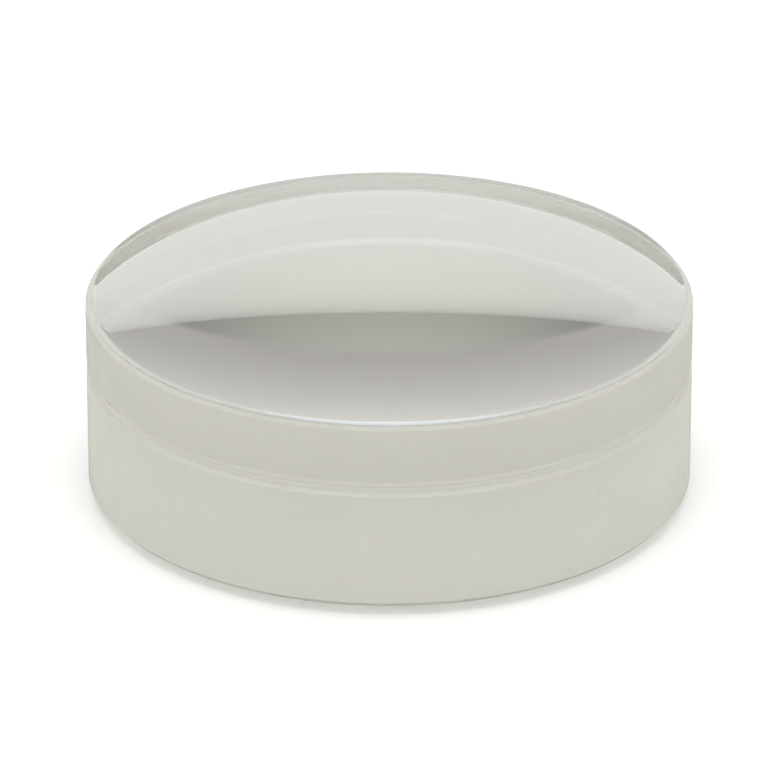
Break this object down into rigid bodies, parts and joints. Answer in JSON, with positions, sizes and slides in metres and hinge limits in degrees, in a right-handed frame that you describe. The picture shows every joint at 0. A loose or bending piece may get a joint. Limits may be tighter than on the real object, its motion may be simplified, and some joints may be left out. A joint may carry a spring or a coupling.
{
  "type": "achromatic doublet lens",
  "caption": "Cemented achromatic doublet lens: a thick biconvex crown element seated in a concave flint element, with a fine-ground cylindrical edge and clear polished outer faces.",
  "frame": {"origin": "lowest point of the weakly convex lower face, on the optical axis", "axes": "+Z along the optical axis, from the flint element towards the steeply convex crown face"},
  "size_m": [0.0254, 0.0254, 0.0105],
  "materials": {
    "crown_glass": "polished and antireflection coated faces, fine-ground edge",
    "flint_glass": "polished and antireflection coated lower face, fine-ground edge",
    "optical_cement": "clear cured adhesive, satin where its bead shows in the seam"
  },
  "bodies": {
    "root": {"crown_element": "crown_glass", "flint_element": "flint_glass", "cement_layer": "optical_cement"}
  },
  "joints": []
}
